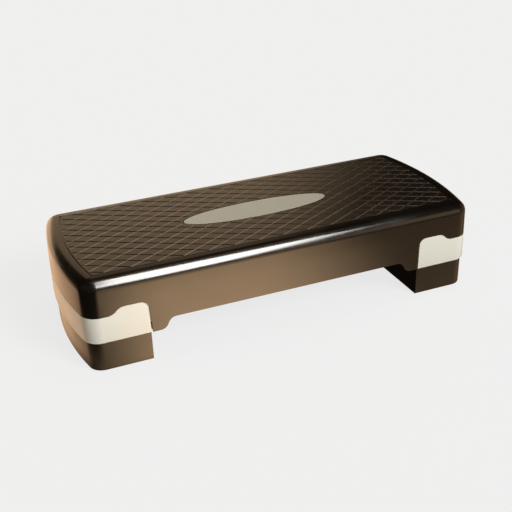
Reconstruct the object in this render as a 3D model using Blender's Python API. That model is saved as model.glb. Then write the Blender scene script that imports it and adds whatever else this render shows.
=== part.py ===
"""Two-height aerobic step: moulded platform, end collars and two folding feet.

X runs along the step, the front faces -Y, Z is up, and the origin lies on the floor
under the middle of the deck. All sizes are in metres.
"""
import math

import bmesh
import bpy
from mathutils import Matrix, Vector

# Overall size
LENGTH = 0.680
WIDTH = 0.280
HEIGHT = 0.150
LOW_HEIGHT = 0.100

# Plan of the platform
END_BULGE = 0.019
CORNER_RADIUS = 0.026
LEAST_CORNER = 0.004
DRAFT = math.radians(0.5)

# Platform shell
TOP_RADIUS = 0.017
SKIRT_WALL = 0.0026
DECK_THICKNESS = 0.0045
ARCH_RISE = 0.018
LUG_LENGTH = 0.0313
ARCH_SLOPE_RUN = 0.009
ARCH_ROUND = 0.013
RIB_THICKNESS = 0.002
RIB_PITCH = 0.052
RIB_BAYS = 3

# Tread mat and its recess
MAT_BORDER = 0.0257
MAT_GAP = 0.001
MAT_THICKNESS = 0.0017
MAT_RIM = 0.002
DIAMOND_LENGTH = 0.0405
DIAMOND_WIDTH = 0.0225
GROOVE_WIDTH = 0.002
GROOVE_DEPTH = 0.0009

# Badge plate
BADGE_LENGTH = 0.251
BADGE_WIDTH = 0.060
BADGE_BEVEL = 0.0008
BADGE_GAP = 0.001
BADGE_FRAME = 0.003

# End collars
COLLAR_LENGTH = 0.1117
BAND_HEIGHT = 0.042
TAB_HEIGHT = 0.0535
TAB_LEAN = 0.002
TAB_ROUND = 0.012
TAB_LENGTH = 0.0435
SHOULDER_RUN = 0.012
SHOULDER_ROUND = 0.018
COLLAR_EDGE = 0.0008
WEB_HEIGHT = 0.030
WEB_THICKNESS = 0.0025
WEB_SETBACK = 0.006
LIP_THICKNESS = 0.002
LIP_RISE = 0.003
BRIDGE_SETBACK = 0.0005
COLLAR_RIB_PITCH = 0.056
COLLAR_CROSS_RIB_SETBACK = 0.059

# Feet
FOOT_WALL = 0.0026
FOOT_FLOOR = 0.003
FOOT_EDGE = 0.0015
FOOT_RISE = 0.004
FOOT_RIB_Y = 0.039
FOOT_CROSS_RIB_SETBACK = 0.041
TONGUE_WIDTH = 0.024
TONGUE_RISE = 0.008
PAD_RADIUS = 0.011
PAD_THICKNESS = 0.002
PAD_PROUD = 0.001
INNER_PAD_FROM_SEAM = 0.019
INNER_PAD_FROM_SIDE = 0.028
OUTER_PAD_FROM_END = 0.026
OUTER_PAD_FROM_SIDE = 0.048

# Hinges
PIVOT_FROM_SEAM = 0.0105
PIVOT_ABOVE_COLLAR = 0.0085
PIN_RADIUS = 0.003
PIN_HEAD_RADIUS = 0.0048
PIN_HEAD_THICKNESS = 0.003
PIN_END_WALL = 0.0004
ARM_THICKNESS = 0.010
ARM_RADIUS = 0.0068
EAR_THICKNESS = 0.004
EAR_RADIUS = 0.0085
EAR_SPREAD = 0.012
BOSS_RADIUS = 0.006
BOSS_LENGTH = 0.0041

# Collar screws
INNER_SCREW_FROM_SEAM = 0.031
OUTER_SCREW_FROM_END = 0.026
SCREW_RADIUS = 0.0019
SCREW_LENGTH = 0.016
SCREW_HEAD_RADIUS = 0.004
SCREW_HEAD_CROWN = 0.0008
SCREW_HEAD_THICKNESS = 0.0026
SCREW_TIP_RADIUS = 0.0006
SCREW_BOSS_RADIUS = 0.005

# Clearances between pieces
SEAT_GAP = 0.0003
SEAM_GAP = 0.0004
FOOT_RUNNING_GAP = 0.0007
FOLD_CLEARANCE = 0.0015

# Facets of round forms, how far cutters pass through, and how close corners merge
END_STEPS = 3
CORNER_STEPS = 5
FILLET_STEPS = 4
ROUND_STEPS = 5
PIN_FACETS = 14
SCREW_FACETS = 12
PAD_FACETS = 20
BADGE_FACETS = 64
SMOOTH_ANGLE = math.radians(35)
OVERCUT = 0.010
WELD = 1e-6

# Heights that follow from the sizes above
COLLAR_BASE = HEIGHT - LOW_HEIGHT
ARCH_HEIGHT = COLLAR_BASE + ARCH_RISE
BAND_TOP = COLLAR_BASE + BAND_HEIGHT
TAB_TOP = COLLAR_BASE + TAB_HEIGHT
WEB_TOP = COLLAR_BASE + WEB_HEIGHT + WEB_THICKNESS
WEB_UNDERSIDE = COLLAR_BASE + WEB_HEIGHT
FOOT_TOP = COLLAR_BASE + FOOT_RISE
PIVOT_Z = COLLAR_BASE + PIVOT_ABOVE_COLLAR
DECK_UNDERSIDE = HEIGHT - DECK_THICKNESS
RECESS_FLOOR = HEIGHT - MAT_THICKNESS - SEAT_GAP
RIB_UNDERSIDE = 2 * PIVOT_Z + FOLD_CLEARANCE
LIP_UNDERSIDE = FOOT_TOP + TONGUE_RISE + FOOT_RISE

# Places along the length that follow from the sizes above
COLLAR_X = LENGTH / 2 - COLLAR_LENGTH
ARCH_HALF_LENGTH = COLLAR_X - LUG_LENGTH
SHOULDER_X = COLLAR_X + TAB_LENGTH
COLLAR_CROSS_RIB_X = COLLAR_X + COLLAR_CROSS_RIB_SETBACK
FOOT_CROSS_RIB_X = COLLAR_X + FOOT_CROSS_RIB_SETBACK
PIVOT_X = COLLAR_X - PIVOT_FROM_SEAM
PAD_PLACES = (
    (COLLAR_X + INNER_PAD_FROM_SEAM, WIDTH / 2 - INNER_PAD_FROM_SIDE),
    (LENGTH / 2 - OUTER_PAD_FROM_END, WIDTH / 2 - OUTER_PAD_FROM_SIDE),
)
SCREW_PLACES = (
    (COLLAR_X + INNER_SCREW_FROM_SEAM, 2 * RIB_PITCH),
    (LENGTH / 2 - OUTER_SCREW_FROM_END, RIB_PITCH),
)

# Places across the width that follow from the sizes above
FOOT_INSET = SKIRT_WALL + FOOT_RUNNING_GAP
SKIRT_INSIDE = WIDTH / 2 - SKIRT_WALL
BOSS_FACE = SKIRT_INSIDE - BOSS_LENGTH
ARM_OUTSIDE = BOSS_FACE - SEAT_GAP
ARM_INSIDE = ARM_OUTSIDE - ARM_THICKNESS
EAR_OUTSIDE = ARM_INSIDE - SEAT_GAP
EAR_INSIDE = EAR_OUTSIDE - EAR_THICKNESS
BORE_RADIUS = PIN_RADIUS + SEAT_GAP


def clear_scene():
    """Remove whatever the new file opened with."""
    for thing in list(bpy.data.objects):
        bpy.data.objects.remove(thing)


def drafted(height):
    """How far a moulded outer wall has drawn in at a height above the collar's base."""
    return (height - COLLAR_BASE) * math.tan(DRAFT)


def plan_outline(inset):
    """Counterclockwise plan of the step, drawn in by an inset: bulging ends, round corners."""
    half_width = WIDTH / 2 - inset
    end_radius = (WIDTH ** 2 / 4 + END_BULGE ** 2) / (2 * END_BULGE) - inset
    end_centre = LENGTH / 2 - inset - end_radius
    corner = max(CORNER_RADIUS - inset, LEAST_CORNER)
    corner_y = half_width - corner
    corner_x = end_centre + math.sqrt((end_radius - corner) ** 2 - corner_y ** 2)
    meeting = math.atan2(corner_y, corner_x - end_centre)
    quarter = []
    for step in range(END_STEPS + 1):
        angle = meeting * step / END_STEPS
        quarter.append((end_centre + end_radius * math.cos(angle), end_radius * math.sin(angle)))
    for step in range(1, CORNER_STEPS + 1):
        angle = meeting + (math.pi / 2 - meeting) * step / CORNER_STEPS
        quarter.append((corner_x + corner * math.cos(angle), corner_y + corner * math.sin(angle)))
    right = [(x, -y) for x, y in reversed(quarter[1:])] + quarter
    return right + [(-x, -y) for x, y in right]


def ellipse(half_length, half_width):
    """Counterclockwise ellipse about the middle of the deck."""
    turns = [2 * math.pi * step / BADGE_FACETS for step in range(BADGE_FACETS)]
    return [(half_length * math.cos(turn), half_width * math.sin(turn)) for turn in turns]


def rounded(corners):
    """Outline through corners given as (x, z, radius), each turned into an arc."""
    points = []
    count = len(corners)
    for index, (x, z, radius) in enumerate(corners):
        here = Vector((x, z))
        if radius == 0:
            points.append((x, z))
            continue
        back = (Vector(corners[index - 1][:2]) - here).normalized()
        ahead = (Vector(corners[(index + 1) % count][:2]) - here).normalized()
        half_angle = back.angle(ahead) / 2
        centre = here + (back + ahead).normalized() * radius / math.sin(half_angle)
        start = here + back * radius / math.tan(half_angle) - centre
        end = here + ahead * radius / math.tan(half_angle) - centre
        turn = start.angle_signed(end)
        for step in range(ROUND_STEPS + 1):
            spoke = Matrix.Rotation(-turn * step / ROUND_STEPS, 2) @ start
            points.append(tuple(centre + spoke))
    return points


def new_object(name, mesh_data):
    """Turn a bmesh into an object whose faces all point out."""
    bmesh.ops.recalc_face_normals(mesh_data, faces=mesh_data.faces)
    mesh = bpy.data.meshes.new(name)
    mesh_data.to_mesh(mesh)
    mesh_data.free()
    thing = bpy.data.objects.new(name, mesh)
    bpy.context.scene.collection.objects.link(thing)
    return thing


def loft(name, levels):
    """Closed solid through rings of equal count, each level being (outline, height)."""
    body = bmesh.new()
    rings = [[body.verts.new((x, y, z)) for x, y in outline] for outline, z in levels]
    count = len(rings[0])
    for lower, upper in zip(rings, rings[1:]):
        for index in range(count):
            after = (index + 1) % count
            body.faces.new((lower[index], lower[after], upper[after], upper[index]))
    body.faces.new(list(reversed(rings[0])))
    body.faces.new(rings[-1])
    return new_object(name, body)


def upright_prism(name, outline, bottom, top):
    """Plan outline pulled straight up."""
    return loft(name, [(outline, bottom), (outline, top)])


def side_prism(name, profile, front, rear):
    """Front-view profile of (x, z) points pulled back along Y."""
    body = bmesh.new()
    face = body.faces.new([body.verts.new((x, front, z)) for x, z in profile])
    pulled = bmesh.ops.extrude_face_region(body, geom=[face])
    moved = [item for item in pulled["geom"] if isinstance(item, bmesh.types.BMVert)]
    bmesh.ops.translate(body, verts=moved, vec=(0, rear - front, 0))
    return new_object(name, body)


def block(name, low, high):
    """Box between two corners."""
    body = bmesh.new()
    bmesh.ops.create_cube(body, size=1)
    for vertex in body.verts:
        for axis in range(3):
            vertex.co[axis] = high[axis] if vertex.co[axis] > 0 else low[axis]
    return new_object(name, body)


def turned(name, sections, facets, along):
    """Round piece along +Y or +Z from (place on the axis, radius) sections."""
    body = bmesh.new()
    rings = []
    for place, radius in sections:
        ring = []
        for step in range(facets):
            angle = 2 * math.pi * step / facets
            across, up = radius * math.cos(angle), radius * math.sin(angle)
            spot = (across, place, up) if along == "Y" else (across, up, place)
            ring.append(body.verts.new(spot))
        rings.append(ring)
    for lower, upper in zip(rings, rings[1:]):
        for index in range(facets):
            after = (index + 1) % facets
            body.faces.new((lower[index], lower[after], upper[after], upper[index]))
    body.faces.new(rings[0])
    body.faces.new(rings[-1])
    return new_object(name, body)


def placed(thing, x, y, z):
    """Shift a piece's mesh to its place."""
    thing.data.transform(Matrix.Translation((x, y, z)))
    return thing


def combine(target, tool, operation):
    """Apply one Boolean to the target and remove the tool."""
    modifier = target.modifiers.new(operation, "BOOLEAN")
    modifier.operation = operation
    modifier.object = tool
    modifier.solver = "EXACT"
    bpy.context.view_layer.update()
    evaluated = target.evaluated_get(bpy.context.evaluated_depsgraph_get())
    result = bpy.data.meshes.new_from_object(evaluated)
    target.modifiers.remove(modifier)
    target.data = result
    bpy.data.objects.remove(tool)
    return target


def cut(target, tool):
    return combine(target, tool, "DIFFERENCE")


def add(target, tool):
    return combine(target, tool, "UNION")


def keep(target, tool):
    return combine(target, tool, "INTERSECT")


def mirrored(thing):
    """Turn a right-hand piece into the left-hand one."""
    thing.data.transform(Matrix.Scale(-1, 4, (1, 0, 0)))
    thing.data.flip_normals()
    return thing


def hang_on(thing, parent, x, y, z):
    """Move a piece's origin to a place, and let it follow a parent if there is one."""
    thing.data.transform(Matrix.Translation((-x, -y, -z)))
    thing.location = (x, y, z)
    if parent is not None:
        thing.parent = parent
        thing.location = Vector((x, y, z)) - parent.location


def make_material(name, colour, roughness, metallic=0.0):
    """Plain surface in linear colour."""
    material = bpy.data.materials.new(name)
    material.use_nodes = True
    shader = material.node_tree.nodes["Principled BSDF"]
    shader.inputs["Base Color"].default_value = (*colour, 1)
    shader.inputs["Roughness"].default_value = roughness
    shader.inputs["Metallic"].default_value = metallic
    return material


def finish(thing, name, material):
    """Name a finished piece, give it its material and shade its round faces smooth."""
    thing.name = name
    thing.data.name = name
    thing.data.materials.clear()
    thing.data.materials.append(material)
    thing.data.shade_smooth()
    thing.data.set_sharp_from_angle(angle=SMOOTH_ANGLE)
    return thing


def collar_profile(grow):
    """Front view of the right collar, grown by a gap for the notch it sits in."""
    base = COLLAR_BASE - (OVERCUT if grow > 0 else 0)
    lean = TAB_LEAN * (TAB_TOP - base) / TAB_HEIGHT
    slope = math.atan2(TAB_TOP - BAND_TOP, SHOULDER_RUN)
    shift = grow * math.tan(slope / 2)
    far = LENGTH / 2 + OVERCUT
    return rounded([
        (COLLAR_X - grow + TAB_LEAN - lean, base, 0),
        (COLLAR_X - grow + TAB_LEAN, TAB_TOP + grow, TAB_ROUND + grow),
        (SHOULDER_X + shift, TAB_TOP + grow, SHOULDER_ROUND + grow),
        (SHOULDER_X + SHOULDER_RUN + shift, BAND_TOP + grow, SHOULDER_ROUND - grow),
        (far, BAND_TOP + grow, 0),
        (far, base, 0),
    ])


def arch_profile():
    """Front view of the opening under the skirt between the two pairs of lugs."""
    foot_of_slope = ARCH_HALF_LENGTH + ARCH_SLOPE_RUN
    below = COLLAR_BASE - OVERCUT
    far = foot_of_slope + ARCH_ROUND + OVERCUT
    half = [
        (ARCH_HALF_LENGTH, ARCH_HEIGHT, ARCH_ROUND),
        (foot_of_slope, COLLAR_BASE, ARCH_ROUND),
        (far, COLLAR_BASE, 0),
        (far, below, 0),
    ]
    other = [(-x, z, radius) for x, z, radius in reversed(half)]
    return rounded(half + other)


def wall_levels(inset, bottom, top):
    """Drafted wall between two heights."""
    return [(plan_outline(inset + drafted(z)), z) for z in (bottom, top)]


def top_fillet_levels(inset, spring, radius):
    """Rings of a quarter-round fillet that springs from a drafted wall."""
    start = inset + drafted(spring)
    levels = []
    for step in range(1, FILLET_STEPS + 1):
        angle = math.pi / 2 * step / FILLET_STEPS
        inward = start + radius * (1 - math.cos(angle))
        levels.append((plan_outline(inward), spring + radius * math.sin(angle)))
    return levels


def within_walls(thing, bottom, top):
    """Trim ribs and webs so that their ends are buried halfway into the skirt."""
    return keep(thing, loft("trim", wall_levels(SKIRT_WALL / 2, bottom, top)))


def deck_ribs():
    """Grid of ribs under the deck, short enough for a folded foot to lie below."""
    top = DECK_UNDERSIDE + DECK_THICKNESS / 4
    half = RIB_THICKNESS / 2
    across = PIVOT_X / RIB_BAYS
    grid = None
    for index in range(-2, 3):
        y = index * RIB_PITCH
        rib = block("rib", (-LENGTH, y - half, RIB_UNDERSIDE), (LENGTH, y + half, top))
        grid = rib if grid is None else add(grid, rib)
    for index in range(-RIB_BAYS, RIB_BAYS + 1):
        x = index * across
        rib = block("rib", (x - half, -WIDTH, RIB_UNDERSIDE), (x + half, WIDTH, top))
        grid = add(grid, rib)
    spring = HEIGHT - TOP_RADIUS
    trim = loft("trim", wall_levels(SKIRT_WALL / 2, COLLAR_BASE, spring)
                + top_fillet_levels(SKIRT_WALL / 2, spring, TOP_RADIUS - SKIRT_WALL / 2))
    return keep(grid, trim)


def hinge_ear(side, end):
    """Plate that hangs from the deck and carries a pin's inner end."""
    top = DECK_UNDERSIDE + DECK_THICKNESS / 4
    profile = []
    for step in range(2 * ROUND_STEPS + 1):
        angle = math.pi + math.pi * step / (2 * ROUND_STEPS)
        across, up = EAR_RADIUS * math.cos(angle), EAR_RADIUS * math.sin(angle)
        profile.append((PIVOT_X + across, PIVOT_Z + up))
    profile.append((PIVOT_X + EAR_RADIUS + EAR_SPREAD, top))
    profile.append((PIVOT_X - EAR_RADIUS, top))
    front, rear = sorted((side * EAR_INSIDE, side * EAR_OUTSIDE))
    ear = side_prism("ear", profile, front, rear)
    return ear if end > 0 else mirrored(ear)


def build_shell(material):
    """Deck and skirts in one moulding, notched for the collars and arched between them."""
    spring = HEIGHT - TOP_RADIUS
    shell = loft("shell", wall_levels(0, COLLAR_BASE, spring)
                 + top_fillet_levels(0, spring, TOP_RADIUS))
    hollow = loft("hollow", wall_levels(SKIRT_WALL, COLLAR_BASE - OVERCUT, spring)
                  + top_fillet_levels(SKIRT_WALL, spring, TOP_RADIUS - DECK_THICKNESS))
    cut(shell, hollow)
    cut(shell, side_prism("arch", arch_profile(), -WIDTH, WIDTH))
    cut(shell, side_prism("notch", collar_profile(SEAM_GAP), -WIDTH, WIDTH))
    cut(shell, mirrored(side_prism("notch", collar_profile(SEAM_GAP), -WIDTH, WIDTH)))
    cut(shell, upright_prism("recess", plan_outline(MAT_BORDER - MAT_GAP),
                             RECESS_FLOOR, HEIGHT + OVERCUT))
    add(shell, deck_ribs())
    for end in (-1, 1):
        for side in (-1, 1):
            add(shell, hinge_ear(side, end))
            face, root = side * BOSS_FACE, side * (WIDTH - SKIRT_WALL) / 2
            boss = turned("boss", [(face, BOSS_RADIUS), (root, BOSS_RADIUS)], PIN_FACETS, "Y")
            add(shell, placed(boss, end * PIVOT_X, 0, PIVOT_Z))
            blind = side * (SKIRT_INSIDE + PIN_END_WALL)
            near = side * (EAR_INSIDE - OVERCUT)
            bore = turned("bore", [(near, BORE_RADIUS), (blind, BORE_RADIUS)], PIN_FACETS, "Y")
            cut(shell, placed(bore, end * PIVOT_X, 0, PIVOT_Z))
            for x, y in SCREW_PLACES:
                post_foot = WEB_TOP + SEAT_GAP
                post_top = DECK_UNDERSIDE + DECK_THICKNESS / 4
                post = turned("post", [(post_foot, SCREW_BOSS_RADIUS), (post_top, SCREW_BOSS_RADIUS)],
                              SCREW_FACETS, "Z")
                add(shell, placed(post, end * x, side * y, 0))
                pilot = SCREW_RADIUS + SEAT_GAP
                pilot_top = WEB_UNDERSIDE + SCREW_LENGTH + SEAT_GAP
                hole = turned("pilot", [(post_foot - OVERCUT, pilot), (pilot_top, pilot)],
                              SCREW_FACETS, "Z")
                cut(shell, placed(hole, end * x, side * y, 0))
    return finish(shell, "platform_shell", material)


def groove_family(slant):
    """V-section bars along one diagonal of the diamonds, ready to be cut out of the mat."""
    run = Vector((DIAMOND_LENGTH, slant * DIAMOND_WIDTH, 0)).normalized()
    square = Vector((-run.y, run.x, 0))
    reach = LENGTH / 2 + WIDTH
    count = math.ceil((WIDTH / 2 + LENGTH / 2 * DIAMOND_WIDTH / DIAMOND_LENGTH) / DIAMOND_WIDTH)
    widen = (GROOVE_DEPTH + MAT_THICKNESS) / GROOVE_DEPTH
    body = bmesh.new()
    for index in range(-count, count + 1):
        middle = Vector((0, index * DIAMOND_WIDTH, 0))
        ends = []
        for sign in (-1, 1):
            line = middle + run * reach * sign
            tip = line + Vector((0, 0, HEIGHT - GROOVE_DEPTH))
            high = line + Vector((0, 0, HEIGHT + MAT_THICKNESS))
            spread = square * GROOVE_WIDTH / 2 * widen
            ends.append([body.verts.new(spot) for spot in (tip, high + spread, high - spread)])
        near, far = ends
        body.faces.new(near)
        body.faces.new(far)
        for corner in range(3):
            after = (corner + 1) % 3
            body.faces.new((near[corner], near[after], far[after], far[corner]))
    return new_object("grooves", body)


def weld(thing):
    """Merge the corners that a cut or a union leaves next to each other."""
    body = bmesh.new()
    body.from_mesh(thing.data)
    bmesh.ops.remove_doubles(body, verts=body.verts, dist=WELD)
    bmesh.ops.dissolve_degenerate(body, edges=body.edges, dist=WELD)
    body.to_mesh(thing.data)
    body.free()
    return thing


def groove_field():
    """Part of the mat that is grooved: inside its rim and outside the badge's frame."""
    low, high = RECESS_FLOOR, HEIGHT + OVERCUT
    field = upright_prism("field", plan_outline(MAT_BORDER + MAT_RIM), low, high)
    border = BADGE_GAP + BADGE_FRAME
    framed = ellipse(BADGE_LENGTH / 2 + border, BADGE_WIDTH / 2 + border)
    return cut(field, upright_prism("framed", framed, low - OVERCUT, high + OVERCUT))


def build_mat(material):
    """Tread mat with crossing V grooves, open in the middle for the badge."""
    floor = RECESS_FLOOR + SEAT_GAP
    mat = upright_prism("mat", plan_outline(MAT_BORDER), floor, HEIGHT)
    grooves = weld(add(groove_family(-1), groove_family(1)))
    weld(cut(mat, weld(keep(grooves, groove_field()))))
    opening = ellipse(BADGE_LENGTH / 2 + BADGE_GAP, BADGE_WIDTH / 2 + BADGE_GAP)
    cut(mat, upright_prism("opening", opening, floor - OVERCUT, HEIGHT + OVERCUT))
    return finish(mat, "tread_mat", material)


def build_badge(material):
    """Bare elliptical plate with a bevelled edge."""
    floor = RECESS_FLOOR + SEAT_GAP
    full = ellipse(BADGE_LENGTH / 2, BADGE_WIDTH / 2)
    face = ellipse(BADGE_LENGTH / 2 - BADGE_BEVEL, BADGE_WIDTH / 2 - BADGE_BEVEL)
    badge = loft("badge", [(full, floor), (full, HEIGHT - BADGE_BEVEL), (face, HEIGHT)])
    return finish(badge, "badge_plate", material)


def collar_stiffening():
    """Web that the screws pull up, and the ribs under it that stand on the foot."""
    near = COLLAR_X + WEB_SETBACK
    half = RIB_THICKNESS / 2
    inner = block("web", (near, -WIDTH, WEB_UNDERSIDE), (LENGTH, WIDTH, WEB_TOP))
    rib_foot = FOOT_TOP + SEAT_GAP
    rib_head = WEB_UNDERSIDE + WEB_THICKNESS / 2
    for index in range(-2, 2):
        y = (index + 0.5) * COLLAR_RIB_PITCH
        add(inner, block("rib", (near + half, y - half, rib_foot), (LENGTH, y + half, rib_head)))
    x = COLLAR_CROSS_RIB_X
    add(inner, block("rib", (x - half, -WIDTH, rib_foot), (x + half, WIDTH, rib_head)))
    return within_walls(inner, COLLAR_BASE, TAB_TOP)


def collar_lip():
    """Thin wall behind the seam that centres the collar in the shell."""
    bottom, top = LIP_UNDERSIDE, TAB_TOP + 2 * LIP_RISE
    outside = SKIRT_WALL + SEAM_GAP
    lip = loft("lip", wall_levels(outside, bottom, top))
    cut(lip, loft("lip_hollow", wall_levels(outside + LIP_THICKNESS, bottom - OVERCUT, top + OVERCUT)))
    return keep(lip, side_prism("lip_trim", collar_profile(LIP_RISE), -WIDTH, WIDTH))


def lip_bridge():
    """Solid strip that ties the lip to the back of the collar's own wall."""
    bottom, top = LIP_UNDERSIDE, TAB_TOP
    strip = loft("strip", wall_levels(SKIRT_WALL / 2, bottom, top))
    deeper = SKIRT_WALL + SEAM_GAP + LIP_THICKNESS / 2
    cut(strip, loft("strip_hollow", wall_levels(deeper, bottom - OVERCUT, top + OVERCUT)))
    return keep(strip, side_prism("strip_trim", collar_profile(-BRIDGE_SETBACK), -WIDTH, WIDTH))


def build_collar(side_name, material):
    """Cream end collar: band and tabs flush with the skirts, web, ribs and locating lip."""
    shoulder = COLLAR_BASE + COLLAR_EDGE
    outer = [(plan_outline(COLLAR_EDGE), COLLAR_BASE)] + wall_levels(0, shoulder, TAB_TOP + OVERCUT)
    collar = loft("collar", outer)
    cut(collar, loft("collar_hollow",
                     wall_levels(SKIRT_WALL, COLLAR_BASE - OVERCUT, TAB_TOP + 2 * OVERCUT)))
    keep(collar, side_prism("collar_trim", collar_profile(0), -WIDTH, WIDTH))
    weld(add(collar, lip_bridge()))
    add(collar, collar_lip())
    add(collar, collar_stiffening())
    for x, y in SCREW_PLACES:
        for side in (-1, 1):
            radius = SCREW_RADIUS + SEAT_GAP
            hole = turned("hole", [(COLLAR_BASE, radius), (TAB_TOP, radius)], SCREW_FACETS, "Z")
            cut(collar, placed(hole, x, side * y, 0))
    if side_name == "left":
        mirrored(collar)
    return finish(collar, side_name + "_end_collar", material)


def foot_levels(inset, bottom, top):
    """Foot wall, drafted so that it is narrowest at the floor."""
    lean = math.tan(DRAFT)
    return [(plan_outline(inset + (FOOT_TOP - z) * lean), z) for z in (bottom, top)]


def foot_stiffening():
    """Ribs that stand on the foot's floor and carry the collar's ribs."""
    half = RIB_THICKNESS / 2
    low = PAD_PROUD + FOOT_FLOOR / 2
    near = COLLAR_X + FOOT_WALL / 2
    x = FOOT_CROSS_RIB_X
    ribs = block("rib", (x - half, -WIDTH, low), (x + half, WIDTH, FOOT_TOP))
    for side in (-1, 1):
        y = side * FOOT_RIB_Y
        add(ribs, block("rib", (near, y - half, low), (LENGTH, y + half, FOOT_TOP)))
    inset = FOOT_INSET + FOOT_WALL / 2
    return keep(ribs, loft("trim", foot_levels(inset, low - OVERCUT, FOOT_TOP + OVERCUT)))


def hinge_arm(side):
    """Knuckle round the pin, drawn down behind the foot's inner wall."""
    buried = COLLAR_X + FOOT_WALL / 2
    toe = buried + ARM_THICKNESS
    profile = []
    for step in range(2 * ROUND_STEPS + 1):
        angle = 1.5 * math.pi - 1.25 * math.pi * step / (2 * ROUND_STEPS)
        across, up = ARM_RADIUS * math.cos(angle), ARM_RADIUS * math.sin(angle)
        profile.append((PIVOT_X + across, PIVOT_Z + up))
    profile.append((toe, FOOT_TOP))
    profile.append((toe, COLLAR_BASE - ARM_THICKNESS))
    profile.append((buried, COLLAR_BASE - 2 * ARM_THICKNESS))
    profile.append((buried, COLLAR_BASE + SEAT_GAP))
    front, rear = sorted((side * ARM_INSIDE, side * ARM_OUTSIDE))
    return side_prism("arm", profile, front, rear)


def snap_tongue():
    """Springy tongue of the end wall that rubs on the collar and holds the foot down."""
    outline = loft("tongue", foot_levels(FOOT_INSET, FOOT_TOP - TONGUE_RISE, FOOT_TOP + TONGUE_RISE))
    cut(outline, loft("tongue_hollow", foot_levels(FOOT_INSET + FOOT_WALL, 0, FOOT_TOP + OVERCUT)))
    half = TONGUE_WIDTH / 2
    middle = block("tongue_trim", (LENGTH / 4, -half, 0), (LENGTH, half, HEIGHT))
    return keep(outline, middle)


def build_foot(side_name, material):
    """Black box foot with ribs, hinge arms, pad seats and a snap tongue."""
    lean = math.tan(DRAFT)
    edge_inset = FOOT_INSET + FOOT_EDGE + (FOOT_TOP - PAD_PROUD) * lean
    levels = [(plan_outline(edge_inset), PAD_PROUD)]
    levels += foot_levels(FOOT_INSET, PAD_PROUD + FOOT_EDGE, FOOT_TOP)
    foot = loft("foot", levels)
    keep(foot, block("foot_trim", (COLLAR_X, -WIDTH, -OVERCUT), (LENGTH, WIDTH, HEIGHT)))
    hollow = loft("foot_hollow", foot_levels(FOOT_INSET + FOOT_WALL, PAD_PROUD + FOOT_FLOOR,
                                             FOOT_TOP + OVERCUT))
    keep(hollow, block("hollow_trim", (COLLAR_X + FOOT_WALL, -WIDTH, -OVERCUT),
                       (LENGTH, WIDTH, HEIGHT)))
    cut(foot, hollow)
    add(foot, foot_stiffening())
    add(foot, snap_tongue())
    for side in (-1, 1):
        add(foot, hinge_arm(side))
        near, far = side * (ARM_INSIDE - OVERCUT), side * WIDTH / 2
        bore = turned("bore", [(near, BORE_RADIUS), (far, BORE_RADIUS)], PIN_FACETS, "Y")
        cut(foot, placed(bore, PIVOT_X, 0, PIVOT_Z))
        for x, y in PAD_PLACES:
            radius = PAD_RADIUS + SEAT_GAP
            top = PAD_THICKNESS + SEAT_GAP
            seat = turned("seat", [(-OVERCUT, radius), (top, radius)], PAD_FACETS, "Z")
            cut(foot, placed(seat, x, side * y, 0))
    if side_name == "left":
        mirrored(foot)
    return finish(foot, side_name + "_folding_foot", material)


def build_pad(name, x, y, material):
    """Rubber disc pressed into its seat, standing just proud of the foot."""
    edge = PAD_PROUD / 2
    sections = [(0, PAD_RADIUS - edge), (edge, PAD_RADIUS), (PAD_THICKNESS, PAD_RADIUS)]
    return finish(placed(turned("pad", sections, PAD_FACETS, "Z"), x, y, 0), name, material)


def build_pin(name, end, side, material):
    """Steel pin pushed from inside through the ear and the arm into the blind boss."""
    head_out = side * (EAR_INSIDE - SEAT_GAP - PIN_HEAD_THICKNESS)
    head_in = side * (EAR_INSIDE - SEAT_GAP)
    tip = side * (SKIRT_INSIDE + PIN_END_WALL - SEAT_GAP)
    sections = [(head_out, PIN_HEAD_RADIUS), (head_in, PIN_HEAD_RADIUS), (head_in, PIN_RADIUS),
                (tip, PIN_RADIUS)]
    pin = placed(turned("pin", sections, PIN_FACETS, "Y"), end * PIVOT_X, 0, PIVOT_Z)
    return finish(pin, name, material)


def build_screw(name, x, y, material):
    """Pan-head screw driven up through the collar's web into the shell's post."""
    head_top = WEB_UNDERSIDE - SEAT_GAP
    head_bottom = head_top - SCREW_HEAD_THICKNESS
    tip = WEB_UNDERSIDE + SCREW_LENGTH
    sections = [(head_bottom, SCREW_HEAD_RADIUS - SCREW_HEAD_CROWN), (head_top, SCREW_HEAD_RADIUS),
                (head_top, SCREW_RADIUS), (tip - SCREW_RADIUS, SCREW_RADIUS),
                (tip, SCREW_TIP_RADIUS)]
    return finish(placed(turned("screw", sections, SCREW_FACETS, "Z"), x, y, 0), name, material)


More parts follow.
